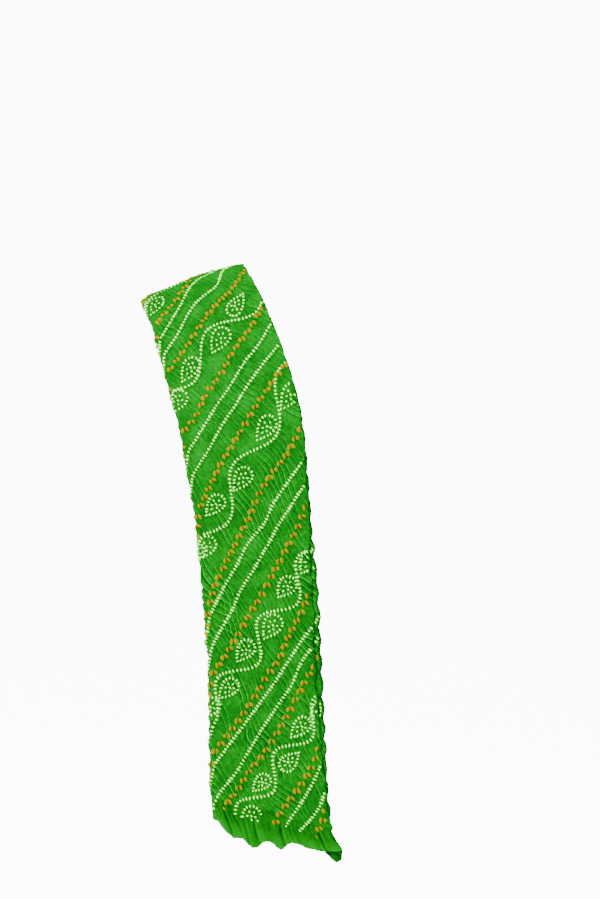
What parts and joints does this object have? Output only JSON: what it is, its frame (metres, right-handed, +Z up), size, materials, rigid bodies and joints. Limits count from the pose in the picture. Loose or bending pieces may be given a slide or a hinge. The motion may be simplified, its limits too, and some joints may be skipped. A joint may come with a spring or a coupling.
{
  "type": "dupatta stole",
  "caption": "Long crinkled tie-dyed stole, folded lengthwise into a flat band and laid over one shoulder, hanging down the front and the back, with gathered plain ends.",
  "frame": {"origin": "underside of the folded band at the middle of the line where it crosses the top of the shoulder", "axes": "+Z up, -Y towards the wearer's front, +X towards the wearer's neck and left side"},
  "size_m": [0.2469, 0.2311, 0.7247],
  "materials": {
    "outer_cloth": "crinkled bright green cloth with tie-dyed white and orange dots",
    "hidden_cloth": "the same crinkled green cloth inside the folds",
    "border_cloth": "plain gathered green cloth, thinner looking at the cut edge"
  },
  "bodies": {
    "root": {"front_fall_outer": "outer_cloth", "shoulder_outer": "outer_cloth", "back_fall_outer": "outer_cloth", "front_fall_hidden_layers": "hidden_cloth", "shoulder_hidden_layers": "hidden_cloth", "back_fall_hidden_layers": "hidden_cloth", "front_frill_outer": "border_cloth", "front_frill_under": "hidden_cloth", "back_frill_outer": "border_cloth", "back_frill_under": "hidden_cloth"}
  },
  "joints": []
}
